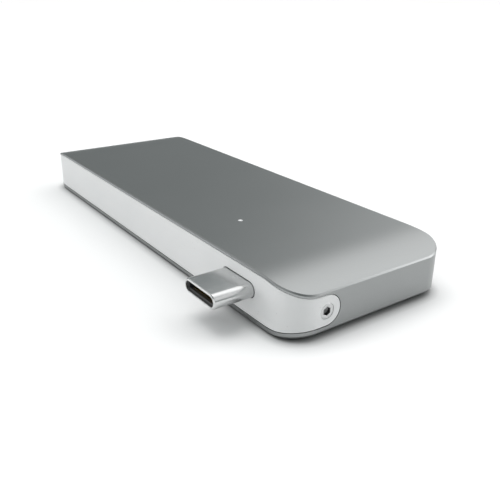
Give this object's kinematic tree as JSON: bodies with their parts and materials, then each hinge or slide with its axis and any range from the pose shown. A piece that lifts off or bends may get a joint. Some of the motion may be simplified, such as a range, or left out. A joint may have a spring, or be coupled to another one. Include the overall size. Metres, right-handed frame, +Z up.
{
  "type": "laptop docking station",
  "caption": "Slim aluminium USB-C hub with a sliding plug at the front, closed by a white band, and card, USB-A and USB-C sockets in the back.",
  "frame": {"origin": "centre of the body's flat underside", "axes": "+X along the length towards the plug's end, +Y towards the back with the sockets (the plug points along -Y), +Z up"},
  "size_m": [0.0916, 0.0384, 0.0089],
  "materials": {
    "shell_aluminium": "space grey anodised, fine bead blasted",
    "band_plastic": "white satin moulded plastic",
    "screw_steel": "satin nickel plated steel",
    "plug_steel": "polished drawn stainless steel",
    "sheet_steel": "tin plated sheet steel",
    "contact_gold": "gold plated contacts",
    "black_plastic": "black moulded plastic",
    "blue_plastic": "blue moulded plastic",
    "board_green": "green solder mask on glass epoxy",
    "chip_black": "dark epoxy package",
    "ceramic": "tan ceramic with tinned ends",
    "ferrite": "dark grey ferrite",
    "pipe_clear": "clear moulded light pipe",
    "led_white": "white LED package",
    "film_clear": "thin insulating film",
    "flex_amber": "amber polyimide flat cable",
    "pad_grey": "soft silicone thermal pad"
  },
  "bodies": {
    "housing": {"aluminium_shell": "shell_aluminium", "front_band": "band_plastic", "end_screws": "screw_steel", "insulating_film": "film_clear", "inner_frame": "black_plastic", "main_board": "board_green", "board_screws": "screw_steel", "guide_screws": "screw_steel", "status_led": "led_white", "light_pipe": "pipe_clear", "plug_guide": "black_plastic", "friction_spring": "sheet_steel", "flex_cable": "flex_amber", "flex_connector": "black_plastic", "usb_c_shell": "sheet_steel", "usb_c_tongue": "black_plastic", "usb_c_contacts": "contact_gold", "hub_chip": "chip_black", "shield_can": "sheet_steel", "thermal_pad": "pad_grey", "reader_chip": "chip_black", "power_chip": "chip_black", "memory_chip": "chip_black", "crystal": "sheet_steel", "inductors": "ferrite", "capacitors": "ceramic", "sd_tray": "black_plastic", "sd_cover": "sheet_steel", "sd_contacts": "contact_gold", "microsd_tray": "black_plastic", "microsd_cover": "sheet_steel", "microsd_contacts": "contact_gold", "usb_a_shell_1": "sheet_steel", "usb_a_tongue_1": "blue_plastic", "usb_a_contacts_1": "contact_gold", "usb_a_shell_2": "sheet_steel", "usb_a_tongue_2": "blue_plastic", "usb_a_contacts_2": "contact_gold"},
    "plug": {"plug_shell": "plug_steel", "plug_insulator": "black_plastic", "plug_contacts": "contact_gold", "plug_latches": "sheet_steel", "plug_card": "board_green", "plug_carriage": "black_plastic"}
  },
  "joints": [
    {"name": "plug_slide", "type": "slide", "parent": "housing", "child": "plug", "axis": [0, -1, 0], "range_m": [0, 0.002], "deforming": ["flex_cable"]}
  ]
}
